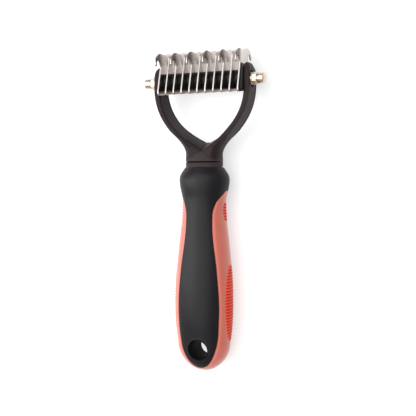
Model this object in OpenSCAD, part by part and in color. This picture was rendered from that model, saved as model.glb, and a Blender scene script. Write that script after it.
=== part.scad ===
// Double-sided undercoat rake: a pack of hooked steel blades on a cross bolt,
// held in a forked plastic yoke on a two-colour handle.
// It lies on its back: X is the width, +Y points from the handle to the blades,
// +Z points out of the front face, and Z = 0 is the surface that it lies on.

/* [Handle] */
// Distance from the end of the handle to the axis of the cross bolt
bolt_station = 165.8; // [160:0.2:172]
// Height of the handle's long axis above the surface
axis_height = 13; // [12.8:0.1:14]
// Thickness of the soft black cover over the core
cover_t = 1.6; // [1.2:0.1:2]
// Height of the side ribs above the handle's surface
rib_proud = 0.35; // [0.2:0.05:0.5]
// Distance between two side ribs
rib_pitch = 1.7; // [1.6:0.1:2]

/* [Hanging hole] */
// Distance from the end of the handle to the centre of the hanging hole
hole_station = 13.4; // [13:0.1:14]
// Radius of the clear hanging hole
hole_r = 5.5; // [5:0.1:5.7]
// Wall of the grommet that lines the hanging hole
grommet_wall = 1; // [0.9:0.1:1.2]

/* [Yoke] */
// Outer half width of the yoke at the cross bolt
yoke_half_w = 29; // [28.8:0.1:29.6]
// Thickness of each arm at the cross bolt
arm_t = 3.4; // [3.2:0.1:3.5]
// Depth of the arms from front to back
arm_depth = 13.4; // [13:0.1:14]
// Height of the arm tops above the cross bolt
arm_rise = 9.3; // [9:0.1:10]
// Slope of the floor between the arms, which is lower at the front
floor_slope = 14; // [8:1:16]

/* [Blades] */
// Distance between two neighbouring blades
blade_pitch = 4.8; // [4.7:0.05:4.8]
// Thickness of a blade
blade_t = 0.9; // [0.8:0.1:1.1]
// Forward tilt of the blade pack about the cross bolt
pack_tilt = 10; // [8:1:10]
// Distance of the blades' own centre line behind the cross bolt
blade_setback = 1.5; // [1.4:0.1:2]
// Diameter of the round spacers between the blades
spacer_d = 10.6; // [9:0.1:11]

/* [Fasteners] */
// Diameter of the cross bolt
bolt_d = 4; // [4:0.5:4]
// Radial clearance of every hole over the cross bolt
bolt_clearance = 0.05; // [0.02:0.01:0.09]
// Diameter of the washers
washer_d = 7; // [6.6:0.1:7.4]
// Thickness of the washers
washer_t = 1.3; // [1:0.1:1.4]
// Width across the flats of the cap nuts
nut_flats = 6.2; // [6:0.1:6.4]
// Height of a cap nut's hexagon
nut_hex_h = 2.8; // [2.4:0.1:3]
// Height of a cap nut's dome
nut_dome_h = 4.9; // [4.4:0.1:5]
// Distance that a cap nut travels before it leaves the thread
nut_travel = 4.9; // [4.2:0.1:4.9]

/* [Hidden] */
$fn = 64;

// A double-hook blade at odd places, a single-hook blade at even places.
blade_count = 11;
middle_place = (blade_count + 1) / 2;

// Height of the blade tops above the cross bolt, and of the bolt above the surface
// that the rear hooks rest on, both at the pack's tilt
rear_outline = flipped(hook_side());
function tilted_up(p) = p[1] * cos(pack_tilt) - (p[0] - blade_setback) * sin(pack_tilt);
function tilted_out(p) = p[1] * sin(pack_tilt) + (p[0] - blade_setback) * cos(pack_tilt);
head_rise = max([for (p = rear_outline) tilted_up(p)]);
overall = bolt_station + head_rise;
bolt_y = bolt_station - overall / 2;
bolt_z = -min([for (p = rear_outline) tilted_out(p)]);
bolt_r = bolt_d / 2;
clear_r = bolt_r + bolt_clearance;

// Handle outline: distance from its end, half width, half depth.
handle_stations = [
    [-15, 12.8, 9.4],
    [0, 14.2, 9.8],
    [15, 15.7, 10.3],
    [30, 16.9, 11.9],
    [45, 17.0, 12.2],
    [60, 16.3, 11.4],
    [75, 14.8, 10.4],
    [90, 13.1, 9.8],
    [99, 13.0, 10.0],
    [107, 14.6, 11.2],
    [112, 14.5, 11.0],
    [117, 11.4, 8.8],
    [121, 9.0, 7.0]
];
handle_end_r = 15;
handle_top = 117;
// The back is a little fuller than the front, so that it reaches the surface.
back_ratio = axis_height / max([for (s = [30:0.5:50]) half_depth(s)]);
core_top = 113;

// Edge of the black cover: distance from the handle's end, half width.
cover_stations = [
    [-12, 9.4],
    [2.3, 9.6],
    [12, 10.4],
    [23, 12.0],
    [40, 12.6],
    [60, 11.0],
    [78, 8.6],
    [91, 8.2],
    [97, 9.9],
    [101, 12.5],
    [104.5, 14.7],
    [108, 20]
];
cover_start = 2.3;
cover_end_r = 15;

// Side ribs: the middle of a group, half its length, half its width.
long_ribs = [40, 22, 6];
short_ribs = [91.6, 5.6, 2.7];
rib_bed = 0.8;
rib_gap = 0.75;

// Tang of the yoke inside the handle
tang_w = 13;
tang_h = 9;
tang_l = 28;
collar_h = 3.6;
collar_w = 21.8;
collar_depth = 16.6;
neck_w = 21.2;
neck_depth = 15;

// Recess for a washer in each arm
recess_r = 4.8;
recess_depth = 0.8;

bolt_half = yoke_half_w - recess_depth + washer_t + nut_travel + 0.1;
pack_half = (blade_count - 1) / 2 * blade_pitch + blade_t / 2;
block_t = yoke_half_w - arm_t - pack_half;

steel = [0.75, 0.73, 0.72];
black = [0.12, 0.12, 0.13];
taupe = [0.29, 0.25, 0.25];
coral = [0.9, 0.47, 0.4];
red = [0.82, 0.16, 0.08];
brass = [0.9, 0.8, 0.6];

BLADES = [for (i = [1:blade_count]) str("blade_", i)];
SPACERS = [for (i = [1:blade_count - 1]) str("spacer_", i)];

// Points of a cubic curve, without its last point.
function curve(a, b, c, d, n = 10) = [
    for (i = [0:n - 1])
        let (t = i / n, s = 1 - t)
            s * s * s * a + 3 * s * s * t * b + 3 * s * t * t * c + t * t * t * d
];
function flipped(points) = [for (i = [len(points) - 1:-1:0]) [-points[i][0], points[i][1]]];

// Smooth curve through the rows of a table, read at distance s.
function row_at(table, s, i = 1) =
    i >= len(table) - 3 || s < table[i + 1][0] ? i : row_at(table, s, i + 1);
function smooth(a, b, c, d, t) =
    b + t * (c - a) / 2 + t * t * (a - 2.5 * b + 2 * c - d / 2)
    + t * t * t * (1.5 * (b - c) + (d - a) / 2);
function read_table(table, s, column) =
    let (
        i = row_at(table, s),
        t = (s - table[i][0]) / (table[i + 1][0] - table[i][0])
    )
    smooth(table[i - 1][column], table[i][column], table[i + 1][column], table[i + 2][column], t);

// Rounding of an end: 0 at its tip, 1 from distance r on.
function end_cap(s, r) = s >= r ? 1 : sqrt(max(0, 1 - pow((r - s) / r, 2)));
function half_width(s) = read_table(handle_stations, s, 1) * end_cap(s, handle_end_r);
function half_depth(s) = read_table(handle_stations, s, 2) * end_cap(s, handle_end_r);

// One ring of the handle, grown by an amount outwards.
function ring(s, grow, sides = 28) = [
    for (i = [0:sides - 1])
        let (
            a = 360 * i / sides,
            w = max(0.3, half_width(s) + grow),
            d = max(0.3, half_depth(s) * (sin(a) < 0 ? back_ratio : 1) + grow)
        )
        [w * cos(a), s - overall / 2, axis_height + d * sin(a)]
];
// Places of the rings: closer together where the end turns in.
function ring_places(low, high) = concat(
    [for (i = [0:6]) low + (handle_end_r - 1) * (1 - cos(i * 15))],
    [for (i = [1:18]) low + handle_end_r - 1 + (high - low - handle_end_r + 1) * i / 18]
);

// Closed solid through rings that have the same number of points.
module skin(rings) {
    n = len(rings[0]);
    last = len(rings) - 1;
    points = [for (r = rings) each r];
    sides = [
        for (k = [0:last - 1], i = [0:n - 1])
            let (j = (i + 1) % n)
                each [
                    [k * n + i, k * n + j, (k + 1) * n + i],
                    [k * n + j, (k + 1) * n + j, (k + 1) * n + i]
                ]
    ];
    low_end = [[for (i = [n - 1:-1:0]) i]];
    high_end = [[for (i = [0:n - 1]) last * n + i]];
    polyhedron(points, concat(sides, low_end, high_end));
}

module handle_form(grow, low, high) {
    skin([for (s = ring_places(low, high)) ring(s, grow)]);
}

// The region that the black cover takes, seen from the front.
module cover_region() {
    side = [
        for (i = [0:44])
            let (s = cover_start + 0.02 + (104.5 - cover_start) * pow(i / 44, 1.5))
                [
                    read_table(cover_stations, s, 1) * end_cap(s - cover_start, cover_end_r),
                    s - overall / 2
                ]
    ];
    top = [[22, side[44][1]], [22, handle_top + 5 - overall / 2]];
    right = concat(side, top);
    translate([0, 0, -5])
        linear_extrude(height = 2 * axis_height + 10)
            polygon(concat(right, flipped(right)));
}

// Cut for the grommet, with its flats outside the grommet's circle.
module hole_cut() {
    translate([0, hole_station - overall / 2, -5])
        cylinder(r = (hole_r + grommet_wall) / cos(180 / $fn), h = 2 * axis_height + 10);
}

// Lens-shaped outline of a group of ribs, as a bar along X on the right side.
module rib_zone(group, slack) {
    outline = [
        for (i = [0:23])
            let (a = 360 * i / 24)
                [
                    (group[2] + slack) * cos(a),
                    group[0] + (group[1] + slack) * sin(a) - overall / 2
                ]
    ];
    translate([7, 0, axis_height])
        rotate([90, 0, 90])
            linear_extrude(height = 14)
                polygon([for (p = outline) [p[1], p[0]]]);
}

module rib_bars(group) {
    count = floor(2 * group[1] / rib_pitch);
    for (i = [0:count - 1])
        translate([7, group[0] + (i - (count - 1) / 2) * rib_pitch - rib_gap / 2 - overall / 2, 0])
            cube([14, rib_gap, 2 * axis_height]);
}

module side_ribs() {
    color(red)
        resize([0, 0, 2 * long_ribs[2]])
            for (group = [long_ribs, short_ribs])
                difference() {
                    intersection() {
                        rib_zone(group, 0);
                        union() {
                            handle_form(-0.15, -0.1, handle_top);
                            intersection() {
                                handle_form(rib_proud, -rib_proud, handle_top);
                                rib_bars(group);
                            }
                        }
                    }
                    handle_form(-rib_bed, rib_bed, handle_top);
                }
}

module side_ribs_right() {
    side_ribs();
}

module side_ribs_left() {
    mirror([1, 0, 0])
        side_ribs();
}

module tang_form() {
    translate([-tang_w / 2, handle_top - tang_l - overall / 2, axis_height - tang_h / 2])
        cube([tang_w, tang_l + 1, tang_h]);
}

module rib_pockets() {
    difference() {
        union() {
            rib_zone(long_ribs, 0);
            rib_zone(short_ribs, 0);
        }
        handle_form(-rib_bed, rib_bed, handle_top);
    }
}

module handle_core() {
    color(coral)
        resize([0, core_top, 0])
            difference() {
                union() {
                    difference() {
                        handle_form(0, 0, handle_top);
                        cover_region();
                    }
                    handle_form(-cover_t, cover_t, core_top);
                }
                tang_form();
                hole_cut();
                rib_pockets();
                mirror([1, 0, 0])
                    rib_pockets();
            }
}

module grip_cover() {
    color(black)
        resize([0, handle_top - cover_start, 0])
            difference() {
                intersection() {
                    handle_form(0, 0, handle_top);
                    cover_region();
                }
                handle_form(-cover_t, cover_t, core_top);
                tang_form();
                hole_cut();
            }
}

// Turned ring with rounded rims that lines the hanging hole.
module hang_grommet() {
    half = 9.9;
    rim = grommet_wall / 2;
    color(black)
        translate([0, hole_station - overall / 2, axis_height])
            rotate_extrude()
                union() {
                    translate([hole_r, -half + rim])
                        square([grommet_wall, 2 * (half - rim)]);
                    for (side = [-1, 1])
                        translate([hole_r + rim, side * (half - rim)])
                            circle(r = rim);
                }
}

// Front view of the fork, from the collar up to the arm tops.
module yoke_front() {
    w = yoke_half_w;
    top = [
        [w, 0],
        each curve([w, 2.5], [w, 6.5], [w - 0.6, arm_rise], [w - 2.2, arm_rise]),
        [w - 2.2, arm_rise],
        [w - arm_t, arm_rise],
        [w - arm_t, 0]
    ];
    outer = curve([neck_w / 2, -43.5], [8.2, -32.1], [30.4, -27.2], [w, 0], 20);
    base = [[neck_w / 2, handle_top + collar_h / 2 - bolt_station]];
    right = concat(base, outer, top);
    difference() {
        linear_extrude(height = 40, center = true)
            polygon(concat(right, flipped(right)));
        yoke_gap();
    }
}

// The gap between the arms. Its floor slopes down to the front.
module yoke_gap() {
    inside = yoke_half_w - arm_t;
    right = concat(
        [[inside, 40]],
        curve([inside, 0], [27.8, -27], [-0.4, -36], [0, -37.2], 20),
        [[0, -37.2]]
    );
    rotate([floor_slope, 0, 0])
        linear_extrude(height = 60, center = true)
            scale([1, cos(floor_slope)])
                polygon(concat(right, flipped(right)));
}

// Side view of the fork: the arms have rounded tops and the neck is deeper.
module yoke_side() {
    d = arm_depth / 2;
    n = neck_depth / 2;
    h = arm_rise;
    right = concat(
        [[n, -60]],
        curve([n, -40], [n, -34], [d, -34], [d, -26], 8),
        curve([d, h - 6], [d, h - 2], [d - 2, h], [d - 5, h], 8),
        [[d - 5, h]]
    );
    rotate([90, 0, 90])
        linear_extrude(height = 80, center = true)
            rotate(-90)
                polygon(concat(right, flipped(right)));
}

module along_bolt(from, length, r) {
    translate([from, 0, 0])
        rotate([0, 90, 0])
            cylinder(r = r, h = length);
}

// Collar outline seen along the handle.
function oval(w, d, n = 48) = [
    for (i = [0:n - 1])
        let (a = 360 * i / n)
            [
                w / 2 * sign(cos(a)) * pow(abs(cos(a)), 0.8),
                d / 2 * sign(sin(a)) * pow(abs(sin(a)), 0.8)
            ]
];

module yoke() {
    collar_y = handle_top - overall / 2;
    color(taupe)
        difference() {
            union() {
                translate([0, bolt_y, axis_height])
                    intersection() {
                        yoke_front();
                        yoke_side();
                    }
                translate([0, collar_y, axis_height])
                    rotate([-90, 0, 0])
                        linear_extrude(height = collar_h)
                            polygon(oval(collar_w, collar_depth));
                tang_form();
            }
            translate([0, bolt_y, bolt_z]) {
                along_bolt(-40, 80, clear_r);
                along_bolt(yoke_half_w - recess_depth, 5, recess_r);
                along_bolt(-yoke_half_w + recess_depth - 5, 5, recess_r);
            }
        }
}

// Outline of one side of a blade, from its base to its top centre:
// first number outwards from the blade's centre line, second number up.
function blade_base() = [each curve([10.4, -6.5], [12.2, -6.6], [12.9, -5.4], [12.2, -3.6])];
function hook_side() = concat(
    blade_base(),
    curve([6.6, 8.5], [6.7, 10.6], [7.7, 13], [9.6, 13]),
    curve([9.6, 13], [10.9, 13], [11.6, 11.7], [11.7, 10.3], 6),
    curve([11.7, 10.3], [11.8, 9.5], [12.9, 9.5], [13.1, 10.9], 6),
    curve([13.1, 10.9], [13.3, 14.3], [9.8, 16.9], [6.2, 16.9], 12),
    curve([6.2, 16.9], [3.9, 16.9], [2.2, 16.1], [0, 16.1], 6)
);
function plain_side() = concat(
    blade_base(),
    curve([5.0, 12.2], [4.6, 15.0], [3.2, 16.1], [0, 16.1])
);

// Places a flat outline as a plate of thickness t, standing across the bolt.
// The outline's first number points to the front and its second number up.
module across_bolt(x, t) {
    translate([x, bolt_y, bolt_z])
        rotate([pack_tilt, 0, 0])
            translate([0, 0, -blade_setback])
                rotate([0, 90, 0])
                    mirror([1, 0, 0])
                        linear_extrude(height = t)
                            children();
}

module blade(place) {
    x = (place - middle_place) * blade_pitch - blade_t / 2;
    front = place % 2 == 1 ? hook_side() : plain_side();
    color(steel)
        difference() {
            across_bolt(x, blade_t)
                polygon(concat(front, flipped(hook_side())));
            translate([x - 1, bolt_y, bolt_z])
                rotate([0, 90, 0])
                    cylinder(r = clear_r, h = blade_t + 2);
        }
}

// Slightly barrel-shaped drum that keeps two blades apart.
module spacer(place) {
    length = blade_pitch - blade_t;
    x = (place - middle_place) * blade_pitch + blade_t / 2;
    crown = 0.15;
    color(black)
        translate([x, bolt_y, bolt_z])
            rotate([0, 90, 0])
                difference() {
                    union() {
                        cylinder(r1 = spacer_d / 2 - crown, r2 = spacer_d / 2, h = length / 2);
                        translate([0, 0, length / 2])
                            cylinder(r1 = spacer_d / 2, r2 = spacer_d / 2 - crown, h = length / 2);
                    }
                    translate([0, 0, -1])
                        cylinder(r = clear_r, h = length + 2);
                }
}

// Block between the outermost blade and an arm, whose inside it follows.
// Its top slopes down to the arm.
module end_block_right() {
    outline = [
        [-9.4, -6],
        [9.4, -6],
        [10.4, -4.8],
        [6.2, 7.4],
        [5, 8.4],
        [-5, 8.4],
        [-6.2, 7.4],
        [-10.4, -4.8]
    ];
    color(black)
        difference() {
            intersection() {
                across_bolt(pack_half, block_t)
                    polygon(outline);
                translate([0, bolt_y, axis_height])
                    yoke_gap();
            }
            translate([pack_half, bolt_y, bolt_z])
                rotate([pack_tilt, 0, 0])
                    translate([0, 8.6, -20])
                        rotate([0, 0, -52])
                            cube([10, 10, 40]);
            translate([pack_half - 1, bolt_y, bolt_z])
                rotate([0, 90, 0])
                    cylinder(r = clear_r, h = block_t + 2);
        }
}

module end_block_left() {
    mirror([1, 0, 0])
        end_block_right();
}

module cross_bolt() {
    end_chamfer = 0.5;
    color(steel)
        translate([0, bolt_y, bolt_z])
            rotate([0, 90, 0]) {
                translate([0, 0, -bolt_half + end_chamfer])
                    cylinder(r = bolt_r, h = 2 * (bolt_half - end_chamfer));
                for (side = [0, 1])
                    mirror([0, 0, side])
                        translate([0, 0, bolt_half - end_chamfer])
                            cylinder(r1 = bolt_r, r2 = bolt_r - end_chamfer, h = end_chamfer);
            }
}

module washer_right() {
    color(brass)
        translate([yoke_half_w - recess_depth, bolt_y, bolt_z])
            rotate([0, 90, 0])
                difference() {
                    cylinder(r = washer_d / 2, h = washer_t);
                    translate([0, 0, -1])
                        cylinder(r = clear_r, h = washer_t + 2);
                }
}

module washer_left() {
    mirror([1, 0, 0])
        washer_right();
}

// Hexagon with a flat-domed cap over a blind bore.
module cap_nut_right() {
    hex_r = nut_flats / 2 / cos(30);
    cap_r = nut_flats / 2 - 0.1;
    dome_r = 1.45 * cap_r;
    color(brass)
        translate([yoke_half_w - recess_depth + washer_t, bolt_y, bolt_z])
            rotate([0, 90, 0])
                difference() {
                    union() {
                        cylinder(r = hex_r, h = nut_hex_h, $fn = 6);
                        intersection() {
                            translate([0, 0, nut_hex_h + nut_dome_h - dome_r])
                                sphere(r = dome_r);
                            translate([0, 0, nut_hex_h - 0.1])
                                cylinder(r = cap_r, h = nut_dome_h + 0.1);
                        }
                    }
                    translate([0, 0, -0.5])
                        cylinder(r = clear_r, h = nut_travel + 0.8);
                }
}

module cap_nut_left() {
    mirror([1, 0, 0])
        cap_nut_right();
}

handle_core();
grip_cover();
side_ribs_left();
side_ribs_right();
hang_grommet();
yoke();
cross_bolt();
end_block_left();
end_block_right();
for (i = [1:blade_count]) blade(i);
for (i = [1:blade_count - 1]) spacer(i);
washer_left();
washer_right();
cap_nut_left();
cap_nut_right();
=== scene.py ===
"""Undercoat rake lying on its back: detailed meshes, materials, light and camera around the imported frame."""

import math
from math import acos, cos, pi, radians, sin, sqrt, tan

import bmesh
import bpy
from mathutils import Matrix, Vector


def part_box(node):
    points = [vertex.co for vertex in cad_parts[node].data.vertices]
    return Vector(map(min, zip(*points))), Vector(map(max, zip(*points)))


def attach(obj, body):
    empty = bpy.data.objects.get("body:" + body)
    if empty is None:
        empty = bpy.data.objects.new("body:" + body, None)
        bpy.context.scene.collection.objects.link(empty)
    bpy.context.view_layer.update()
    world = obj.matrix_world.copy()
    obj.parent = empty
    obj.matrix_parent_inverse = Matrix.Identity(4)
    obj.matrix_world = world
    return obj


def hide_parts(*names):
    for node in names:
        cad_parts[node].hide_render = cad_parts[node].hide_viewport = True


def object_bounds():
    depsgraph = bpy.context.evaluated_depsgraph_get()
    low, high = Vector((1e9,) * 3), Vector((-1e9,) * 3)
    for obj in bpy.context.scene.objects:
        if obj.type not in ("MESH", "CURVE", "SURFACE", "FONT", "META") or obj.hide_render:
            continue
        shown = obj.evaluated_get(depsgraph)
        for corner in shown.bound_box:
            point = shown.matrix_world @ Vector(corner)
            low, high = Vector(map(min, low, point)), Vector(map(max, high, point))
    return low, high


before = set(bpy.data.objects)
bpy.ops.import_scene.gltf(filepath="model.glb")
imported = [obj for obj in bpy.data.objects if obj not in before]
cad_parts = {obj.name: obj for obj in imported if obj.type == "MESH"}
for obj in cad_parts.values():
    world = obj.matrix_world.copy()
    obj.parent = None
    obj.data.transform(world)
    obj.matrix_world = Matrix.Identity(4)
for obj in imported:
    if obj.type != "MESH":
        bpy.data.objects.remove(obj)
cad_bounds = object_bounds()

MM = 0.001

# ---------------------------------------------------------------- places taken from the frame

bolt_low, bolt_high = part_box("cross_bolt")
BOLT_Y = (bolt_low.y + bolt_high.y) / 2 / MM
BOLT_Z = (bolt_low.z + bolt_high.z) / 2 / MM
BOLT_HALF = bolt_high.x / MM
grommet_low, grommet_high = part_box("hang_grommet")
AXIS_Z = (grommet_low.z + grommet_high.z) / 2 / MM
HOLE_Y = (grommet_low.y + grommet_high.y) / 2 / MM
GROMMET_R = (grommet_high.x - grommet_low.x) / 2 / MM
washer_low, washer_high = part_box("washer_right")
nut_low, nut_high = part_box("cap_nut_right")
STATION_0 = cad_bounds[0][1] / MM
BOLT_STATION = BOLT_Y - STATION_0

# ---------------------------------------------------------------- small geometry helpers


def bezier(a, b, c, d, n):
    """Points of a cubic curve, without its last one."""
    out = []
    for i in range(n):
        t = i / n
        s = 1 - t
        out.append(tuple(
            s ** 3 * a[k] + 3 * s * s * t * b[k] + 3 * s * t * t * c[k] + t ** 3 * d[k]
            for k in range(2)
        ))
    return out


def table_at(table, s, column):
    """Smooth curve through the rows of a table, read at distance s."""
    i = 1
    while i < len(table) - 3 and s >= table[i + 1][0]:
        i += 1
    t = (s - table[i][0]) / (table[i + 1][0] - table[i][0])
    a, b, c, d = (table[i + k][column] for k in (-1, 0, 1, 2))
    square = a - 2.5 * b + 2 * c - d / 2
    cube = 1.5 * (b - c) + (d - a) / 2
    return b + t * (c - a) / 2 + t * t * square + t ** 3 * cube


def smoothstep(low, high, value):
    """0 up to low, 1 from high on, and smooth between them. low may be the larger."""
    t = min(1.0, max(0.0, (value - low) / (high - low)))
    return t * t * (3 - 2 * t)


def set_normals(bm, sharp_deg):
    """Outward faces, shaded smooth, with sharp edges from an angle on."""
    bmesh.ops.recalc_face_normals(bm, faces=bm.faces)
    for f in bm.faces:
        f.smooth = True
    for e in bm.edges:
        if len(e.link_faces) == 2:
            e.smooth = e.calc_face_angle(0) < radians(sharp_deg)


def to_object(bm, name, material, sharp_deg=35):
    """Turns a mesh in millimetres into an object in metres."""
    bmesh.ops.remove_doubles(bm, verts=bm.verts, dist=1e-4)
    bmesh.ops.scale(bm, vec=(MM, MM, MM), verts=bm.verts)
    set_normals(bm, sharp_deg)
    mesh = bpy.data.meshes.new(name)
    bm.to_mesh(mesh)
    bm.free()
    piece = bpy.data.objects.new(name, mesh)
    bpy.context.scene.collection.objects.link(piece)
    mesh.materials.append(material)
    return piece


def add_loft(bm, rings, closed=True, cap_start=True, cap_end=True):
    """Faces through rings of points, with optional flat ends. Gives its rows of vertices."""
    rows = [[bm.verts.new(p) for p in ring] for ring in rings]
    n = len(rows[0])
    for a, b in zip(rows, rows[1:]):
        for i in range(n if closed else n - 1):
            j = (i + 1) % n
            bm.faces.new((a[i], a[j], b[j], b[i]))
    if cap_start:
        bm.faces.new(list(reversed(rows[0])))
    if cap_end:
        bm.faces.new(rows[-1])
    return rows


def turned(profile, sides, place):
    """Rings of a turned shape along X: profile is a list of (x, radius)."""
    return [
        [place + Vector((x, r * cos(2 * pi * i / sides), r * sin(2 * pi * i / sides))) for i in range(sides)]
        for x, r in profile
    ]


def cut_with(piece, cutters):
    """Cuts closed shapes out of a piece and leaves its normals tidy."""
    bpy.context.view_layer.update()
    for cutter in cutters:
        mod = piece.modifiers.new("cut", "BOOLEAN")
        mod.operation = "DIFFERENCE"
        mod.solver = "EXACT"
        mod.object = cutter
    graph = bpy.context.evaluated_depsgraph_get()
    mesh = bpy.data.meshes.new_from_object(piece.evaluated_get(graph))
    piece.modifiers.clear()
    old = piece.data
    material = old.materials[0]
    piece.data = mesh
    bpy.data.meshes.remove(old)
    mesh.materials.clear()
    mesh.materials.append(material)
    for cutter in cutters:
        bpy.data.objects.remove(cutter)
    bm = bmesh.new()
    bm.from_mesh(mesh)
    bmesh.ops.remove_doubles(bm, verts=bm.verts, dist=1e-7)
    bmesh.ops.dissolve_degenerate(bm, edges=bm.edges, dist=1e-7)
    set_normals(bm, 35)
    bm.to_mesh(mesh)
    bm.free()


# ---------------------------------------------------------------- materials


def new_material(name):
    """A material with its node tree's nodes, links and shader."""
    mat = bpy.data.materials.new(name)
    mat.use_nodes = True
    nodes = mat.node_tree.nodes
    return mat, nodes, mat.node_tree.links, nodes["Principled BSDF"]


def noise_node(nodes, links, scale, detail, coords=None, roughness=0.5):
    """Noise in the object's own coordinates, or in the given ones."""
    tex = nodes.new("ShaderNodeTexNoise")
    tex.inputs["Scale"].default_value = scale
    tex.inputs["Detail"].default_value = detail
    tex.inputs["Roughness"].default_value = roughness
    if coords is None:
        coords = nodes.new("ShaderNodeTexCoord").outputs["Object"]
    links.new(coords, tex.inputs["Vector"])
    return tex.outputs["Fac"]


def remap(nodes, links, value, low, high, out_low, out_high):
    """A value taken from one range to another, and held at its ends."""
    node = nodes.new("ShaderNodeMapRange")
    node.inputs["From Min"].default_value = low
    node.inputs["From Max"].default_value = high
    node.inputs["To Min"].default_value = out_low
    node.inputs["To Max"].default_value = out_high
    links.new(value, node.inputs["Value"])
    return node.outputs["Result"]


def colour_mix(nodes, links, factor, first, second):
    """Mix of two colours, each a plain colour or another node's output."""
    node = nodes.new("ShaderNodeMix")
    node.data_type = "RGBA"
    links.new(factor, node.inputs["Factor"])
    for socket, value in (("A", first), ("B", second)):
        target = [s for s in node.inputs if s.name == socket and s.type == "RGBA"][0]
        if isinstance(value, tuple):
            target.default_value = (*value, 1)
        else:
            links.new(value, target)
    return [s for s in node.outputs if s.type == "RGBA"][0]


def add_bump(nodes, links, shader, height, distance, strength):
    """Bump of a height in the shader's normal."""
    bump = nodes.new("ShaderNodeBump")
    bump.inputs["Distance"].default_value = distance
    bump.inputs["Strength"].default_value = strength
    links.new(height, bump.inputs["Height"])
    links.new(bump.outputs["Normal"], shader.inputs["Normal"])


def edge_wear(nodes, links, low=0.505, high=0.56):
    """1 on outward edges, from the mesh's pointiness."""
    geo = nodes.new("ShaderNodeNewGeometry")
    return remap(nodes, links, geo.outputs["Pointiness"], low, high, 0, 1)


def moulded(name, colour, pale, rough, grain, grain_depth, specular, sheen=0.0):
    """Moulded plastic or rubber: fine spark-eroded grain, faint mottling and rubbed edges."""
    mat, nodes, links, shader = new_material(name)
    patches = noise_node(nodes, links, 60, 4)
    speck = noise_node(nodes, links, grain, 3)
    tint = remap(nodes, links, patches, 0.3, 0.7, 0, 0.55)
    base = colour_mix(nodes, links, tint, colour, pale)
    rubbed = tuple(min(1, c * 1.25 + 0.01) for c in pale)
    worn = colour_mix(nodes, links, edge_wear(nodes, links), base, rubbed)
    links.new(worn, shader.inputs["Base Color"])
    links.new(remap(nodes, links, speck, 0.3, 0.7, rough - 0.05, rough + 0.06), shader.inputs["Roughness"])
    shader.inputs["Specular IOR Level"].default_value = specular
    shader.inputs["Sheen Weight"].default_value = sheen
    add_bump(nodes, links, shader, speck, grain_depth, 0.6)
    return mat


# Where the hoods' painted dark reflection starts and is full, beyond the bolt: out of the front, and up the
# blades.
HOOD_OUT = (4.5, 8.5)
HOOD_UP = (7.5, 10.5)
# Roughness added on the hoods.
HOOD_DULLNESS = 0.4


def painted_hood_reflection(nodes, links, coords):
    """1 on the front hooks of the blades, where a dark reflection is painted into the steel's colour, and 0 on
    the plates.
    """
    parts = nodes.new("ShaderNodeSeparateXYZ")
    links.new(coords, parts.inputs["Vector"])
    both = nodes.new("ShaderNodeMath")
    both.operation = "MULTIPLY"
    out_low, out_high = (BOLT_Z + HOOD_OUT[0]) * MM, (BOLT_Z + HOOD_OUT[1]) * MM
    up_low, up_high = (BOLT_Y + HOOD_UP[0]) * MM, (BOLT_Y + HOOD_UP[1]) * MM
    links.new(remap(nodes, links, parts.outputs["Z"], out_low, out_high, 0, 1), both.inputs[0])
    links.new(remap(nodes, links, parts.outputs["Y"], up_low, up_high, 0, 1), both.inputs[1])
    return both.outputs["Value"]


def steel(name, colour, pale, rough, stretch=(1, 1, 40), scale=300, hoods=None):
    """Steel: fine scratches along one way, soft smudges, and a painted dark reflection on the hoods if its
    colour is given.
    """
    mat, nodes, links, shader = new_material(name)
    coords = nodes.new("ShaderNodeTexCoord").outputs["Object"]
    mapping = nodes.new("ShaderNodeMapping")
    mapping.inputs["Scale"].default_value = stretch
    links.new(coords, mapping.inputs["Vector"])
    scratches = noise_node(nodes, links, scale, 6, mapping.outputs["Vector"], 0.65)
    smudges = noise_node(nodes, links, 120, 3)
    base = colour_mix(nodes, links, remap(nodes, links, smudges, 0.3, 0.7, 0, 1), colour, pale)
    finish = remap(nodes, links, scratches, 0.3, 0.7, rough - 0.03, rough + 0.05)
    # Painted dark reflection: the hoods' darker colour is mixed into the steel's colour on the front hooks.
    if hoods:
        on_hood = painted_hood_reflection(nodes, links, coords)
        base = colour_mix(nodes, links, on_hood, base, hoods)
        duller = nodes.new("ShaderNodeMath")
        duller.operation = "MULTIPLY_ADD"
        duller.inputs[1].default_value = HOOD_DULLNESS
        links.new(on_hood, duller.inputs[0])
        links.new(finish, duller.inputs[2])
        finish = duller.outputs["Value"]
    links.new(base, shader.inputs["Base Color"])
    shader.inputs["Metallic"].default_value = 1
    links.new(finish, shader.inputs["Roughness"])
    add_bump(nodes, links, shader, scratches, 0.000003, 0.2)
    return mat


CORAL = moulded(
    "coral_plastic", (0.56, 0.125, 0.083), (0.62, 0.152, 0.105),
    rough=0.42, grain=1800, grain_depth=0.00001, specular=0.35, sheen=0.7,
)
SOFT_BLACK = moulded(
    "soft_black", (0.0062, 0.0049, 0.0064), (0.0090, 0.0074, 0.0094),
    rough=0.42, grain=3200, grain_depth=0.00002, specular=0.22,
)
# The lining is black rubber like the cover, made darker still: painted shade inside the hanging hole.
LINING_PAINTED_SHADE = moulded(
    "hole_lining_painted_shade", (0.0015, 0.0015, 0.0017), (0.003, 0.003, 0.0034),
    rough=0.6, grain=3200, grain_depth=0.00001, specular=0.06,
)
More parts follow.
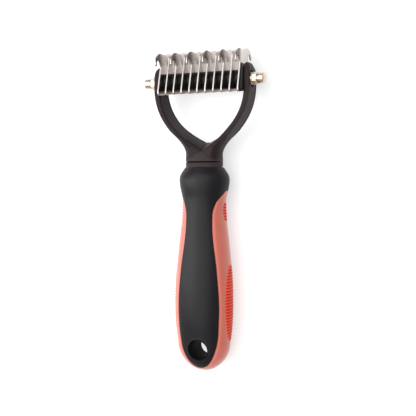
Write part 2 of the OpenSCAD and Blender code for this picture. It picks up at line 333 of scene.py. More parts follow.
# The deep red of the rib bars and the redder orange of their bed are painted shade and painted bounced light
# between the ribs.
RIB_RED_PAINTED_SHADE = moulded(
    "red_rib", (0.50, 0.004, 0.001), (0.58, 0.010, 0.002),
    rough=0.5, grain=2600, grain_depth=0.00001, specular=0.12,
)
RIB_BED_PAINTED_SHADE = moulded(
    "rib_bed", (0.64, 0.11, 0.05), (0.70, 0.135, 0.065),
    rough=0.5, grain=2600, grain_depth=0.00001, specular=0.15,
)
TAUPE = moulded(
    "yoke_plastic", (0.0225, 0.0140, 0.0155), (0.0300, 0.0192, 0.0212),
    rough=0.44, grain=2400, grain_depth=0.000015, specular=0.09,
)
DRUM_BLACK = moulded(
    "spacer_plastic", (0.004, 0.004, 0.0045), (0.006, 0.006, 0.0065),
    rough=0.36, grain=900, grain_depth=0.000006, specular=0.25,
)
BLOCK_BLACK = moulded(
    "block_plastic", (0.005, 0.005, 0.0055), (0.007, 0.007, 0.0075),
    rough=0.5, grain=900, grain_depth=0.000006, specular=0.3,
)
# The hoods colour darkens the blades' front hooks: a painted dark reflection.
BLADE = steel(
    "blade_steel", (0.56, 0.50, 0.475), (0.64, 0.58, 0.555),
    rough=0.14, stretch=(1, 60, 6), scale=260, hoods=(0.21, 0.17, 0.155),
)
EDGE = steel(
    "blade_edge_steel", (0.44, 0.40, 0.375), (0.52, 0.475, 0.45),
    rough=0.32, stretch=(40, 4, 4), scale=260,
)
BOLT = steel("bolt_steel", (0.55, 0.54, 0.53), (0.62, 0.61, 0.60), rough=0.3)
PLATING = steel(
    "warm_plating", (0.60, 0.47, 0.36), (0.70, 0.58, 0.46),
    rough=0.3, stretch=(1, 1, 1), scale=500,
)

# ---------------------------------------------------------------- the handle's form, as in the CAD

# Distance from the handle's end, half width, half depth.
HANDLE = (
    (-15, 12.8, 9.4), (0, 14.2, 9.8), (15, 15.7, 10.3), (30, 16.9, 11.9), (45, 17.0, 12.2),
    (60, 16.3, 11.4), (75, 14.8, 10.4), (90, 13.1, 9.8), (99, 13.0, 10.0), (107, 14.6, 11.2),
    (112, 14.5, 11.0), (117, 11.4, 8.8), (121, 9.0, 7.0),
)
# Edge of the black cover: distance from the handle's end, half width.
COVER_EDGE = (
    (-12, 9.4), (2.3, 9.6), (12, 10.4), (23, 12.0), (40, 12.6), (60, 11.0),
    (78, 8.6), (91, 8.2), (97, 9.9), (101, 12.5), (104.5, 14.7), (108, 20),
)
END_R = 15
COVER_START = 2.3
COVER_SHUT = 104.4
HANDLE_TOP = 117
# Where the rounding of the bell's rim starts.
RIM_START = HANDLE_TOP - 0.5
CORE_TOP = 113
COVER_T = 1.6
SEAM = 0.3


def end_cap(s):
    """Rounding of an end: 0 at its tip, 1 from distance END_R on."""
    return 1.0 if s >= END_R else sqrt(max(0.0, 1 - ((END_R - s) / END_R) ** 2))


def half_width(s):
    """Half of the handle's width at distance s."""
    return table_at(HANDLE, s, 1) * end_cap(s)


def half_depth(s):
    """Half of the handle's depth at distance s, in front of its axis."""
    return table_at(HANDLE, s, 2) * end_cap(s)


# Depth behind the axis as a share of that in front, so that the back just stays above the floor.
BACK_RATIO = 0.999 * AXIS_Z / max(half_depth(30 + i / 2) for i in range(41))


def on_handle(s, angle, grow=0.0):
    """Point of the handle's surface at distance s. Angle 0 is its right side, and 90 degrees its front."""
    w = max(0.02, half_width(s) + grow)
    d = max(0.02, half_depth(s) * (BACK_RATIO if sin(angle) < 0 else 1) + grow)
    return Vector((w * cos(angle), STATION_0 + s, AXIS_Z + d * sin(angle)))


def edge_angle(s):
    """Angle of the seam between the black cover and the coral core."""
    if s <= COVER_START:
        return pi / 2
    if s >= COVER_SHUT:
        return 0.0
    reach = table_at(COVER_EDGE, s, 1) * end_cap(s - COVER_START)
    return acos(min(1.0, reach / half_width(s)))


def cover_stations():
    """Places of the cover's rings, closer together at its tip and where its side panels shut."""
    tip = [COVER_START + 0.01 + 12 * (1 - cos(pi / 2 * i / 14)) for i in range(15)]
    middle = [tip[-1] + (COVER_SHUT - 7 - tip[-1]) * i / 56 for i in range(1, 57)]
    shut = [middle[-1] + 7 * (1 - (1 - i / 20) ** 2) for i in range(1, 21)]
    bell = [COVER_SHUT + (RIM_START - COVER_SHUT) * i / 16 for i in range(1, 17)]
    return tip + middle + shut + bell


# Angles from the seam between cover and core, and the share of the seam's depth at each.
SEAM_STEPS = (0.0, 0.007, 0.018, 0.036)
SEAM_DROPS = (1.0, 0.38, 0.08, 0.0)
# Steps across the cover between its two seams' own steps.
COVER_STEPS = 26
# Rounding of the bell's rim: how far each ring is sunk, and how far it lies beyond the last full one.
RIM_ROUNDING = ((-0.1, 0.32), (-0.35, 0.48), (-0.8, 0.5))


def across(edge):
    """Angles from edge to 180 degrees less edge, closer together at both seams."""
    half = pi / 2 - edge
    near = [min(a, half * 0.2 * k) for k, a in enumerate(SEAM_STEPS)]
    inner = near[-1]
    left = [edge + a for a in near]
    middle = [edge + inner + (2 * half - 2 * inner) * i / COVER_STEPS for i in range(1, COVER_STEPS)]
    right = [pi - edge - a for a in reversed(near)]
    return left + middle + right


def cover_half(bm, side):
    """Front (side 1) or back (side -1) half of the soft cover, as a closed shell."""
    outer, inner = [], []
    for s in cover_stations():
        edge = edge_angle(s)
        angles = across(edge)
        open_seam = smoothstep(COVER_SHUT, COVER_SHUT - 2.5, s)
        drops = [SEAM * d * open_seam for d in SEAM_DROPS]
        n = len(angles)
        row = []
        for i, a in enumerate(angles):
            k = min(i, n - 1 - i)
            drop = drops[k] if k < len(drops) else 0.0
            row.append(on_handle(s, side * a, -drop))
        outer.append(row)
        inner.append([on_handle(s, side * a, -COVER_T) for a in angles])
    n = len(outer[0])
    for grow, lift in RIM_ROUNDING:
        s = RIM_START + lift
        angles = across(0.0)
        outer.append([on_handle(s, side * a, grow) for a in angles])
    rows_out = add_loft(bm, outer, closed=False, cap_start=False, cap_end=False)
    rows_in = add_loft(bm, inner, closed=False, cap_start=False, cap_end=False)
    shut_row = sum(1 for s in cover_stations() if edge_angle(s) > 0)
    for column in (0, n - 1):
        for k in range(shut_row):
            over = (rows_out[k][column], rows_out[k + 1][column])
            bm.faces.new((*over, rows_in[k + 1][column], rows_in[k][column]))
    for i in range(n - 1):
        for k in (0, -1):
            bm.faces.new((rows_out[k][i], rows_out[k][i + 1], rows_in[k][i + 1], rows_in[k][i]))


def hole_cutter(radius):
    """Upright cylinder through the handle at the hanging hole."""
    bm = bmesh.new()
    rings = turned([(-30, radius), (30, radius)], 96, Vector((0, 0, 0)))
    rings = [[Vector((p.y, HOLE_Y + p.z, AXIS_Z + p.x)) for p in ring] for ring in rings]
    add_loft(bm, rings)
    return to_object(bm, "hole_cutter", SOFT_BLACK)


def make_cover():
    """Soft black cover of two halves, with a seam on both sides and a hole for the grommet."""
    bm = bmesh.new()
    cover_half(bm, 1)
    cover_half(bm, -1)
    piece = to_object(bm, "grip_cover_soft", SOFT_BLACK, 50)
    cut_with(piece, [hole_cutter(GROMMET_R - 0.1)])
    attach(piece, "rake")
    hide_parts("grip_cover")


def core_ring(s, sunk):
    """Ring of the core: coral side bands at full size, and the rest sunk under the cover if sunk is true."""
    edge = edge_angle(s)
    band = [2 * edge * i / 24 - edge for i in range(25)]
    gap = pi - 2 * edge
    panel = [edge + gap * i / 20 for i in range(21)]
    ring = []
    for side in (0, 1):
        for i, a in enumerate(band):
            reach = min(edge, (edge - abs(a)))
            drop = SEAM * max(0.0, 1 - reach / 0.02) ** 2 if sunk else 0.0
            ring.append(on_handle(s, a + pi * side, -drop if edge > 0 else -COVER_T))
        for a in panel:
            ring.append(on_handle(s, a + pi * side, -COVER_T if sunk else 0.0))
    return ring


def make_core():
    """Coral core, closed at its end and cut by the hanging hole."""
    bm = bmesh.new()
    rings = []
    for i in range(1, 13):
        s = (COVER_START - 0.35) * (i / 12) ** 2
        rings.append(core_ring(s, False))
    last_full, before_it = core_ring(COVER_START, False), core_ring(COVER_START - 0.2, False)
    rings.append([p.lerp(q, 0.5) for p, q in zip(last_full, before_it)])
    for s in cover_stations():
        if s <= CORE_TOP:
            rings.append(core_ring(s, True))
    tip = [Vector((0, STATION_0, AXIS_Z))] * len(rings[0])
    add_loft(bm, [tip] + rings, cap_start=False)
    piece = to_object(bm, "handle_core_coral", CORAL, 40)
    cut_with(piece, [hole_cutter(GROMMET_R - 0.1)])
    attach(piece, "rake")
    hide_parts("handle_core")


# ---------------------------------------------------------------- side ribs

# Groups of ribs: the middle's distance from the handle's end, half the group's length and half its width.
LONG_RIBS = (40, 22, 6)
SHORT_RIBS = (91.6, 5.6, 2.7)
RIB_PITCH = 1.7
RIB_W = 1.0
RIB_PROUD = 0.35


def add_rib(bm, s, half_length, side):
    """One raised bar across the side of the handle, round on top and tapering at both ends."""
    low, high = rib_edge_angles(s, half_length)
    steps = 18
    rows = []
    for i in range(steps + 1):
        t = i / steps
        a = low + (high - low) * t
        end = sqrt(max(0.0, 1 - (2 * t - 1) ** 16))
        row = []
        for k in range(9):
            b = pi * k / 8
            across_rib = RIB_W / 2 * cos(b) * (0.35 + 0.65 * end)
            up = (RIB_PROUD + 0.25) * sin(b) * end - 0.25
            p = on_handle(s + across_rib, a, up)
            row.append(Vector((side * p.x, p.y, p.z)))
        rows.append(row)
    add_loft(bm, rows)


def rib_edge_angles(s, half_length):
    """Angles at which a rib starts behind the axis and ends in front of it."""
    d = half_depth(s)
    return -math.asin(min(0.95, half_length / (d * BACK_RATIO))), math.asin(min(0.95, half_length / d))


def add_rib_bed(bm, group, side):
    """Thin lens-shaped bed that a group of ribs stands on."""
    middle, half, width = group
    outer, inner = [], []
    for i in range(41):
        offset = half * cos(pi * (1 - i / 40))
        reach = max(0.05, width * 0.96 * sqrt(max(0.0, 1 - (offset / half) ** 2)))
        low, high = rib_edge_angles(middle + offset, reach)
        for rows, grow in ((outer, 0.03), (inner, -0.4)):
            row = [on_handle(middle + offset, low + (high - low) * k / 14, grow) for k in range(15)]
            rows.append([Vector((side * p.x, p.y, p.z)) for p in row])
    add_loft(bm, [row + list(reversed(under)) for row, under in zip(outer, inner)])


def make_ribs(side, name, node):
    """Both groups of ribs on one side."""
    bm = bmesh.new()
    for group in (LONG_RIBS, SHORT_RIBS):
        add_rib_bed(bm, group, side)
    for face in bm.faces:
        face.material_index = 1
    for middle, half, width in (LONG_RIBS, SHORT_RIBS):
        count = int(2 * half // RIB_PITCH)
        for i in range(count):
            offset = (i - (count - 1) / 2) * RIB_PITCH
            reach = width * sqrt(max(0.0, 1 - (offset / half) ** 2))
            add_rib(bm, middle + offset, reach, side)
    # The bars get the painted red shade and the bed the painted orange bounced light.
    piece = to_object(bm, name, RIB_RED_PAINTED_SHADE, 50)
    piece.data.materials.append(RIB_BED_PAINTED_SHADE)
    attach(piece, "rake")
    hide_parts(node)


# ---------------------------------------------------------------- hanging hole grommet


def surface_height(x, s):
    """How far the handle's front surface stands above its axis at a place."""
    return half_depth(s) * sqrt(max(0.0, 1 - (x / half_width(s)) ** 2))


def make_grommet():
    """Soft lining of the hanging hole, whose rounded rims follow the handle's surface."""
    wall = 1.0
    rounding = 0.6
    lip = 0.05
    sides = 96
    inner = GROMMET_R - wall
    hole_station = HOLE_Y - STATION_0
    columns = []
    for i in range(sides):
        a = 2 * pi * i / sides
        at = hole_station + GROMMET_R * sin(a)
        high = surface_height(GROMMET_R * cos(a), at)
        tops = (high + lip, -(high * BACK_RATIO + lip))
        column = []
        for side, top in zip((1, -1), tops):
            for k in range(13):
                t = pi * k / 12
                r = inner + wall / 2 - side * wall / 2 * cos(t)
                column.append((r, top - side * rounding * (1 - sin(t))))
        columns.append([(r * cos(a), r * sin(a), z) for r, z in column])
    rings = [
        [Vector((x, HOLE_Y + y, AXIS_Z + z)) for x, y, z in (column[k] for column in columns)]
        for k in range(26)
    ]
    bm = bmesh.new()
    add_loft(bm, rings + [rings[0]], cap_start=False, cap_end=False)
    # Its near-black is partly the rubber's own colour and partly painted shade of the hole.
    piece = to_object(bm, "hang_grommet_soft", LINING_PAINTED_SHADE, 60)
    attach(piece, "rake")
    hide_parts("hang_grommet")


# ---------------------------------------------------------------- blades

BLADE_COUNT = 11
PITCH = 4.8
BLADE_T = 0.9
TILT = radians(10)
SETBACK = 1.5
# Radius of every hole over the bolt.
BLADE_BORE = 2.05
# How far the hooks' edges and the other edges are ground back, and how deep at most.
GROUND = 0.3
PLAIN_EDGE = 0.1
GRIND_DEPTH = 0.2


def blade_base():
    """Rounded lower corner that every side of a blade starts with."""
    return [(*p, PLAIN_EDGE) for p in bezier((10.4, -6.5), (12.2, -6.6), (12.9, -5.4), (12.2, -3.6), 10)]


def hook_side():
    """One side of a hooked blade: outwards, up, and how far the edge is ground back."""
    arch = bezier((6.6, 8.5), (6.7, 10.6), (7.7, 13), (9.6, 13), 14)
    inner_tip = bezier((9.6, 13), (10.9, 13), (11.6, 11.7), (11.7, 10.3), 8)
    tip = bezier((11.7, 10.3), (11.8, 9.5), (12.9, 9.5), (13.09, 10.9), 8)
    hood = bezier((13.09, 10.9), (13.29, 14.3), (9.8, 16.88), (6.2, 16.88), 18)
    dip = bezier((6.2, 16.88), (3.9, 16.88), (2.2, 16.1), (0, 16.1), 8)
    points = blade_base()
    points += [(12.2 - 5.6 * t, -3.6 + 12.1 * t, PLAIN_EDGE) for t in (0.0, 0.25, 0.5, 0.75)]
    points += [(*p, PLAIN_EDGE + (GROUND - PLAIN_EDGE) * smoothstep(0, 8, i)) for i, p in enumerate(arch)]
    points += [(*p, GROUND - 0.1 * smoothstep(0, 8, i)) for i, p in enumerate(inner_tip)]
    points += [(*p, 0.2 - 0.05 * smoothstep(0, 6, i)) for i, p in enumerate(tip)]
    points += [(*p, 0.15) for p in hood]
    points += [(*p, PLAIN_EDGE) for p in dip]
    return points


def plain_side():
    """One side of a blade without a hook, in the same terms as hook_side."""
    shoulder = bezier((5.0, 12.2), (4.6, 15.0), (3.2, 16.1), (0, 16.1), 12)
    points = blade_base()
    points += [(12.2 - 7.2 * t, -3.6 + 15.8 * t, PLAIN_EDGE) for t in (0.0, 0.2, 0.4, 0.6, 0.8)]
    points += [(*p, PLAIN_EDGE) for p in shoulder]
    return points


def tilted(x, out, up):
    """Point of the blade pack from its place across, outwards to the front and up along the blade."""
    out -= SETBACK
    return Vector((x, BOLT_Y + up * cos(TILT) - out * sin(TILT), BOLT_Z + up * sin(TILT) + out * cos(TILT)))


def inset(points, distance):
    """The outline moved inwards by each point's own distance, for an outline that runs anticlockwise."""
    out = []
    n = len(points)
    for i, p in enumerate(points):
        a, b = points[i - 1], points[(i + 1) % n]
        t = Vector((b[0] - a[0], b[1] - a[1])).normalized()
        out.append((p[0] - t.y * distance(i), p[1] + t.x * distance(i)))
    return out


def make_blade(place):
    """Blade with ground edges and a round bore, hooked in front at odd places."""
    x = (place - (BLADE_COUNT + 1) / 2) * PITCH
    front = hook_side() if place % 2 else plain_side()
    rear = [(-p[0], p[1], p[2]) for p in reversed(hook_side())]
    outline = front + rear
    flat = [(p[0], p[1]) for p in outline]
    ground = [p[2] for p in outline]
    faced = inset(flat, lambda i: ground[i])
    half = BLADE_T / 2
    bm = bmesh.new()
    loops = []
    for side, points in ((-1, faced), (-1, flat), (1, flat), (1, faced)):
        on_face = points is faced
        row = []
        for i, p in enumerate(points):
            rim = half if on_face else half - min(GRIND_DEPTH, ground[i])
            row.append(bm.verts.new(tilted(x + side * rim, p[0], p[1])))
        loops.append(row)
    n = len(outline)
    edge_faces = []
    for k, (a, b) in enumerate(zip(loops, loops[1:])):
        for i in range(n):
            j = (i + 1) % n
            face = bm.faces.new((a[i], a[j], b[j], b[i]))
            if k == 1:
                edge_faces.append(face)
    bores = []
    for side in (-1, 1):
        ring = []
        for i in range(40):
            a = 2 * pi * i / 40
            y, z = BOLT_Y + BLADE_BORE * cos(a), BOLT_Z + BLADE_BORE * sin(a)
            ring.append(bm.verts.new(Vector((x + side * half, y, z))))
        bores.append(ring)
    for i in range(40):
        j = (i + 1) % 40
        bm.faces.new((bores[0][i], bores[0][j], bores[1][j], bores[1][i]))
    for face_loop, bore in ((loops[0], bores[0]), (loops[3], bores[1])):
        edges = []
        for ring in (face_loop, bore):
            for i, v in enumerate(ring):
                w = ring[(i + 1) % len(ring)]
                edges.append(bm.edges.get((v, w)) or bm.edges.new((v, w)))
        bmesh.ops.triangle_fill(bm, use_beauty=True, edges=edges)
    for face in edge_faces:
        face.material_index = 1
    piece = to_object(bm, f"blade_{place}_ground", BLADE, 12)
    piece.data.materials.append(EDGE)
    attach(piece, "rake")
    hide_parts(f"blade_{place}")


# ---------------------------------------------------------------- spacers, bolt, washers and nuts


def make_spacer(place):
    """Barrel-shaped drum with rounded ends and a bore."""
    low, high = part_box(f"spacer_{place}")
    r = (high.z - low.z) / 2 / MM
    x0, x1 = low.x / MM, high.x / MM
    crown, corner = 0.15, 0.3
    profile = [(x0, BLADE_BORE), (x0, r - crown - corner)]
    steps = 14
    for i in range(steps + 1):
        t = i / steps
        x = x0 + (x1 - x0) * t
        edge = min(t, 1 - t) * (x1 - x0)
        round_off = corner - sqrt(max(0.0, corner ** 2 - max(0.0, corner - edge) ** 2))
        profile.append((x, r - crown * (2 * t - 1) ** 2 - round_off))
    profile += [(x1, r - crown - corner), (x1, BLADE_BORE)]
    bm = bmesh.new()
    rings = turned(profile, 72, Vector((0, BOLT_Y, BOLT_Z)))
    add_loft(bm, rings + [rings[0]], cap_start=False, cap_end=False)
    piece = to_object(bm, f"spacer_{place}_drum", DRUM_BLACK, 40)
    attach(piece, "rake")
    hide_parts(f"spacer_{place}")


def make_bolt():
    """Stud with a real helical thread at both ends."""
    thread = 0.7
    threaded = 9.5
    depth = 0.38
    r = 2.0
    sides = 48
    step = thread / 12
    places = []
    x = -BOLT_HALF
    while x < BOLT_HALF - 1e-6:
        places.append(x)
        x += step if abs(x) > BOLT_HALF - threaded else 2.0
        if abs(x) < BOLT_HALF - threaded and x + 2.0 > BOLT_HALF - threaded:
            places.append(x)
            x = BOLT_HALF - threaded
    places.append(BOLT_HALF)
    rings = []
    for x in places:
        ring = []
        fade = smoothstep(BOLT_HALF - threaded, BOLT_HALF - threaded + 1, abs(x))
        tip = 0.5 * smoothstep(BOLT_HALF - 0.6, BOLT_HALF, abs(x))
        for i in range(sides):
            turn = (x / thread - i / sides) % 1
            valley = abs(2 * turn - 1)
            radius = r - depth * fade * smoothstep(0.15, 0.95, 1 - valley) - tip
            a = 2 * pi * i / sides
            ring.append(Vector((x, BOLT_Y + radius * cos(a), BOLT_Z + radius * sin(a))))
        rings.append(ring)
    bm = bmesh.new()
    add_loft(bm, rings)
    piece = to_object(bm, "cross_bolt_threaded", BOLT, 50)
    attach(piece, "rake")
    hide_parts("cross_bolt")


def mirrored_x(rings, side):
    """The rings as they are for side 1, or mirrored to the left for side -1."""
    return [[Vector((side * p.x, p.y, p.z)) for p in ring] for ring in rings]


def make_washer(side, body, node):
    """Plated washer with rounded rims."""
    x0, x1 = washer_low.x / MM, washer_high.x / MM
    r = (washer_high.z - washer_low.z) / 2 / MM
    soft = 0.16
    profile = [
        (x0, BLADE_BORE), (x0, r - soft), (x0 + soft * 0.3, r - soft * 0.3), (x0 + soft, r),
        (x1 - soft, r), (x1 - soft * 0.3, r - soft * 0.3), (x1, r - soft), (x1, BLADE_BORE),
    ]
    rings = mirrored_x(turned(profile, 72, Vector((0, BOLT_Y, BOLT_Z))), side)
    bm = bmesh.new()
    add_loft(bm, rings + [rings[0]], cap_start=False, cap_end=False)
    piece = to_object(bm, node + "_plated", PLATING, 30)
    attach(piece, body)
    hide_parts(node)


def make_cap_nut(side, body, node):
    """Chamfered hexagon, narrow neck and rounded cap over a blind bore."""
    x0, x1 = nut_low.x / MM, nut_high.x / MM
    flats = 6.2 / 2
    hex_h = 2.8
    dome_r = flats - 0.05
    sides = 96
    cap_r = 1.45 * dome_r
    corner_r = 0.7
    turn = acos((dome_r - corner_r) / (cap_r - corner_r))
    shoulder = x1 - cap_r + (cap_r - corner_r) * sin(turn)
    bore_end = x1 - 1.1

    def hex_radius(i):
        """Distance from the bolt's axis to the hexagon, at a step round it."""
        a = (2 * pi * i / sides) % (pi / 3) - pi / 6
        return flats / cos(a)

    rows = []
    bore = [(bore_end, 0.01), (bore_end - 0.4, BLADE_BORE), (x0 + 0.35, BLADE_BORE), (x0, BLADE_BORE + 0.35)]
    for x, r in bore:
        rows.append((x, [r] * sides))
    corner = flats / cos(pi / 6)
    for x, limit in (
        (x0, flats - 0.15), (x0 + 0.12, flats + 0.12), (x0 + 0.3, corner - 0.04), (x0 + 0.42, corner),
        (x0 + hex_h - 0.42, corner), (x0 + hex_h - 0.3, corner - 0.04), (x0 + hex_h - 0.12, flats + 0.12),
        (x0 + hex_h, flats - 0.15),
    ):
        rows.append((x, [min(limit, hex_radius(i)) for i in range(sides)]))
    neck = [(x0 + hex_h, dome_r - 0.3), (x0 + hex_h + 0.15, dome_r - 0.3), (x0 + hex_h + 0.3, dome_r - 0.05)]
    neck += [(x0 + hex_h + 0.4, dome_r), (shoulder, dome_r)]
    for x, r in neck:
        rows.append((x, [r] * sides))
    for i in range(1, 9):
        a = turn * i / 8
        rows.append((shoulder + corner_r * sin(a), [dome_r - corner_r * (1 - cos(a))] * sides))
    for i in range(1, 13):
        a = turn + (pi / 2 - turn) * i / 12
        rows.append((x1 - cap_r * (1 - sin(a)), [max(0.01, cap_r * cos(a))] * sides))
    rings = []
    for x, radii in rows:
        ring = []
        for i, r in enumerate(radii):
            a = 2 * pi * i / sides
            ring.append(Vector((side * x, BOLT_Y + r * cos(a), BOLT_Z + r * sin(a))))
        rings.append(ring)
    bm = bmesh.new()
    add_loft(bm, rings)
    piece = to_object(bm, node + "_domed", PLATING, 28)
    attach(piece, body)
    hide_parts(node)


def soften_block(node):
    """The CAD block keeps its mesh and gets rounded edges and a plastic of its own."""
    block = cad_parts[node]
    block.data.materials.clear()
    block.data.materials.append(BLOCK_BLACK)
    bevel = block.modifiers.new("soft_edges", "BEVEL")
    bevel.width = 0.35 * MM
    bevel.segments = 3
    bevel.limit_method = "ANGLE"
    bevel.angle_limit = radians(25)
    bevel.harden_normals = True


# ---------------------------------------------------------------- yoke

RECESS_DEPTH = 0.8
ARM_OUTSIDE = washer_low.x / MM + RECESS_DEPTH
ARM_T = 3.4
ARM_DEPTH = 13.4
ARM_RISE = 9.3
NECK_HALF = 10.55
# Foot of the gap between the arms: its slope, its place from the bolt, and how much steeper it gets
# near the middle, towards the front and towards the rear.
FOOT_SLOPE = radians(12)
FOOT_UP = -37.2
STEEPER_FRONT = 0.24
STEEPER_REAR = 0.1
# Height of the rear rim above the foot of the gap, and its crown.
REAR_RIM = 2.8
RIM_CROWN = 0.01
RECESS_R = 4.8
# Place of the neck's foot, inside the collar, from the bolt.
NECK_FOOT = HANDLE_TOP + 3.2 - BOLT_STATION
# Depth and inset of each layer, from the middle of the front to the middle of the side:
# first on the arms, then on the neck.
LAYERS = (
    ((6.7, 0.95), (7.5, 4.1)),
    ((6.64, 0.5), (7.44, 3.8)),
    ((6.44, 0.18), (7.25, 3.4)),
    ((6.1, 0.02), (6.7, 2.6)),
    ((5.5, 0.0), (5.8, 1.9)),
    ((5.35, 0.3), (5.4, 1.5)),
    ((5.05, 0.32), (5.0, 1.2)),
    ((4.85, 0.12), (4.5, 0.85)),
    ((2.5, 0.1), (2.5, 0.2)),
    ((0.0, 0.1), (0.0, 0.0)),
)


def yoke_half_outline():
    """Right half of the fork, from the neck up round the arm to the foot of the gap.

    Each point is its distance across, its height above the bolt, and which stretch it is on.
    """
    w = ARM_OUTSIDE
    points = [(NECK_HALF, NECK_FOOT, "base"), (NECK_HALF, -44.6, "base")]
    points += [(*p, "outer") for p in bezier((NECK_HALF, -43.5), (8.2, -32.1), (30.4, -27.2), (w, 0), 40)]
    points += [(w, 0, "outer"), (w, 1.3, "outer")]
    points += [(*p, "top") for p in bezier((w, 2.5), (w, 6.5), (w - 0.6, ARM_RISE), (w - 2.2, ARM_RISE), 12)]
    inside = w - ARM_T
    points += [(w - 2.2, ARM_RISE, "top"), (inside + 0.35, ARM_RISE, "top"), (inside, ARM_RISE - 0.35, "top")]
    points += [(inside, 6, "inner"), (inside, 3, "inner")]
    points += [(*p, "inner") for p in bezier((inside, 0), (27.8, -27), (-0.4, -36), (0, FOOT_UP), 40)]
    return points


def arm_top_at(z):
    """Height of the arm's rounded top at a depth."""
    half = ARM_DEPTH / 2
    corner = 5.0
    over = abs(z) - (half - corner)
    if over <= 0:
        return ARM_RISE
    return ARM_RISE - corner + sqrt(max(0.0, corner ** 2 - min(corner, over) ** 2))


def yoke_layer(arm, neck, side):
    """One ring of the fork at a depth, in front (side 1) or behind (side -1)."""
    right = yoke_half_outline()
    left = [(-p[0], p[1], p[2]) for p in reversed(right[:-1])]
    foot = [(0, FOOT_UP, "inner")]
    outline = right + foot + left
    flat = [(p[0], p[1]) for p in outline]
    blends = []
    for p in outline:
        blends.append({"base": 1.0, "outer": smoothstep(-27, -43, p[1])}.get(p[2], 0.0))
    moved = inset(flat, lambda i: arm[1] + (neck[1] - arm[1]) * blends[i])
    ring = []
    for (x, up), p, blend in zip(moved, outline, blends):
        if p[2] == "base":
            x, up = math.copysign(abs(p[0]) - neck[1], p[0]), p[1]
        z = side * (arm[0] + (neck[0] - arm[0]) * blend)
        if p[2] == "inner":
            steeper = (STEEPER_FRONT if z > 0 else STEEPER_REAR) * smoothstep(-24, -36, p[1])
            up -= z * (tan(FOOT_SLOPE) * smoothstep(0, -12, p[1]) + steeper)
            rear_rim = FOOT_UP + REAR_RIM * smoothstep(1, -5, z) - RIM_CROWN * x * x
            up = max(up, rear_rim) if z < 0.5 else up
        if up > 0 and p[2] != "outer":
            up *= arm_top_at(z) / ARM_RISE
        up = max(up, NECK_FOOT)
        ring.append(Vector((x, BOLT_Y + up, AXIS_Z + z)))
    return ring


def cylinder_cutter(x0, x1, r):
    """Cylinder along the bolt."""
    bm = bmesh.new()
    add_loft(bm, turned([(x0, r), (x1, r)], 64, Vector((0, BOLT_Y, BOLT_Z))))
    return to_object(bm, "bolt_cutter", TAUPE)


COLLAR_TILT = radians(7)


def oval_ring(up, half_w, half_d, sides=96):
    """Ring round the handle's axis, a distance up from the handle's end, lower at the front."""
    ring = []
    for i in range(sides):
        a = 2 * pi * i / sides
        x = half_w * math.copysign(abs(cos(a)) ** 0.88, cos(a))
        z = half_d * math.copysign(abs(sin(a)) ** 0.88, sin(a))
        ring.append(Vector((x, STATION_0 + up - z * tan(COLLAR_TILT), AXIS_Z + z)))
    return ring


def make_yoke():
    """Fork with rounded edges, lofted from front to rear, and the collar at its foot."""
    bm = bmesh.new()
    rings = [yoke_layer(arm, neck, 1) for arm, neck in LAYERS]
    rings += [yoke_layer(arm, neck, -1) for arm, neck in reversed(LAYERS[:-1])]
    rows = add_loft(bm, rings, cap_start=False, cap_end=False)
    n = len(rows[0])
    for row in (rows[0], rows[-1]):
        edges = [bm.edges.get((row[i], row[(i + 1) % n])) for i in range(n)]
        bmesh.ops.triangle_fill(bm, use_beauty=True, edges=edges)
    collar = [
        (-2, 9.9, 7.5), (-0.3, 9.9, 7.5), (0, 10.5, 8.0), (0.3, 10.8, 8.2),
        (2.9, 10.8, 8.2), (3.25, 10.6, 8.0), (3.5, 10.2, 7.6), (3.5, 8.0, 6.0),
    ]
    add_loft(bm, [oval_ring(HANDLE_TOP + up, half_w, half_d) for up, half_w, half_d in collar])
    piece = to_object(bm, "yoke_fork", TAUPE, 32)
    recess = washer_low.x / MM
    cutters = [
        cylinder_cutter(-40, 40, BLADE_BORE),
        cylinder_cutter(recess, recess + 6, RECESS_R),
        cylinder_cutter(-recess - 6, -recess, RECESS_R),
    ]
    cut_with(piece, cutters)
    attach(piece, "rake")
    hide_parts("yoke")


# ---------------------------------------------------------------- floor, light and camera


FLOOR_GLOW = 0.58


def make_floor():
    """Pale floor that glows a little, so that its shadows stay faint."""
    mat, nodes, links, shader = new_material("pale_floor")
    mottling = noise_node(nodes, links, 3, 2)
    tint = remap(nodes, links, mottling, 0.3, 0.7, 0, 1)
    base = colour_mix(nodes, links, tint, (0.60, 0.60, 0.60), (0.62, 0.62, 0.62))
    links.new(base, shader.inputs["Base Color"])
    shader.inputs["Emission Color"].default_value = (1, 1, 1, 1)
    shader.inputs["Emission Strength"].default_value = FLOOR_GLOW
    shader.inputs["Roughness"].default_value = 0.9
    shader.inputs["Specular IOR Level"].default_value = 0.1
    bm = bmesh.new()
    bmesh.ops.create_grid(bm, x_segments=8, y_segments=8, size=4000)
    floor = to_object(bm, "floor", mat)


def add_area(name, place, aim, size, power):
    """Rectangular white light at a place, turned to the point that it is aimed at."""
    light = bpy.data.lights.new(name, "AREA")
    light.shape = "RECTANGLE"
    light.size, light.size_y = size
    light.energy = power
    lamp = bpy.data.objects.new(name, light)
    bpy.context.scene.collection.objects.link(lamp)
    lamp.location = place
    lamp.rotation_euler = (Vector(aim) - Vector(place)).to_track_quat("-Z", "Y").to_euler()


def make_world():
    """Even studio surroundings, brighter to the camera than to the object."""
    world = bpy.data.worlds.new("studio")
    bpy.context.scene.world = world
    world.use_nodes = True
    nodes, links = world.node_tree.nodes, world.node_tree.links
    background = nodes["Background"]
    background.inputs["Color"].default_value = (0.95, 0.95, 0.96, 1)
    path = nodes.new("ShaderNodeLightPath")
    strength = remap(nodes, links, path.outputs["Is Camera Ray"], 0, 1, 0.42, 0.95)
    links.new(strength, background.inputs["Strength"])


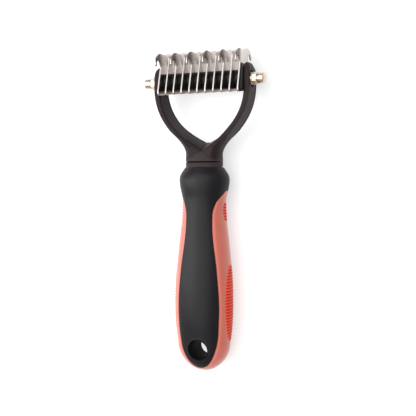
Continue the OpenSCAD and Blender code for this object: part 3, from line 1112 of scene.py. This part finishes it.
def make_lights():
    """The surroundings, a large light above and a strip at the left."""
    make_world()
    add_area("key", (-0.30, 0.15, 1.05), (0, 0, 0), (1.5, 1.5), 15)
    add_area("left_strip", (-0.95, 0.0, 0.72), (0, 0, 0), (0.3, 1.2), 6)


# The camera looks down at the front face, turned to the rake's right and raised towards the blades.
YAW = radians(22)
RISE = radians(1.8)
DISTANCE = 0.402
# The picture's width and the lens's focal length, in one unit.
PICTURE_W = 416
FOCAL_LENGTH = 700
AIM_BELOW_BOLT = 0.0722
AIM_ASIDE = 0.0021
ROLL = radians(0.15)


def make_camera():
    """Camera in front of the rake, with the blades at the top of its view."""
    right = Vector((cos(YAW), 0, -sin(YAW)))
    up = Vector((-sin(YAW) * sin(RISE), cos(RISE), -cos(YAW) * sin(RISE)))
    back = Vector((sin(YAW) * cos(RISE), sin(RISE), cos(YAW) * cos(RISE)))
    aim = Vector((0, BOLT_Y * MM - AIM_BELOW_BOLT, AXIS_Z * MM)) + right * AIM_ASIDE
    data = bpy.data.cameras.new("camera")
    data.angle = 2 * math.atan(PICTURE_W / 2 / FOCAL_LENGTH)
    data.clip_start = 0.01
    camera = bpy.data.objects.new("camera", data)
    bpy.context.scene.collection.objects.link(camera)
    turn = Matrix((right, up, back)).transposed().to_4x4() @ Matrix.Rotation(ROLL, 4, "Z")
    camera.matrix_world = Matrix.Translation(aim + back * DISTANCE) @ turn
    bpy.context.scene.camera = camera


make_camera()
make_lights()
make_floor()
make_core()
make_cover()
make_ribs(1, "side_ribs_right_bars", "side_ribs_right")
make_ribs(-1, "side_ribs_left_bars", "side_ribs_left")
make_grommet()
make_yoke()
for place in range(1, BLADE_COUNT + 1):
    make_blade(place)
for place in range(1, BLADE_COUNT):
    make_spacer(place)
make_bolt()
for side, word in ((1, "right"), (-1, "left")):
    make_washer(side, word + "_washer", "washer_" + word)
    make_cap_nut(side, word + "_nut", "cap_nut_" + word)
    soften_block("end_block_" + word)

bpy.context.scene.view_settings.view_transform = "Standard"
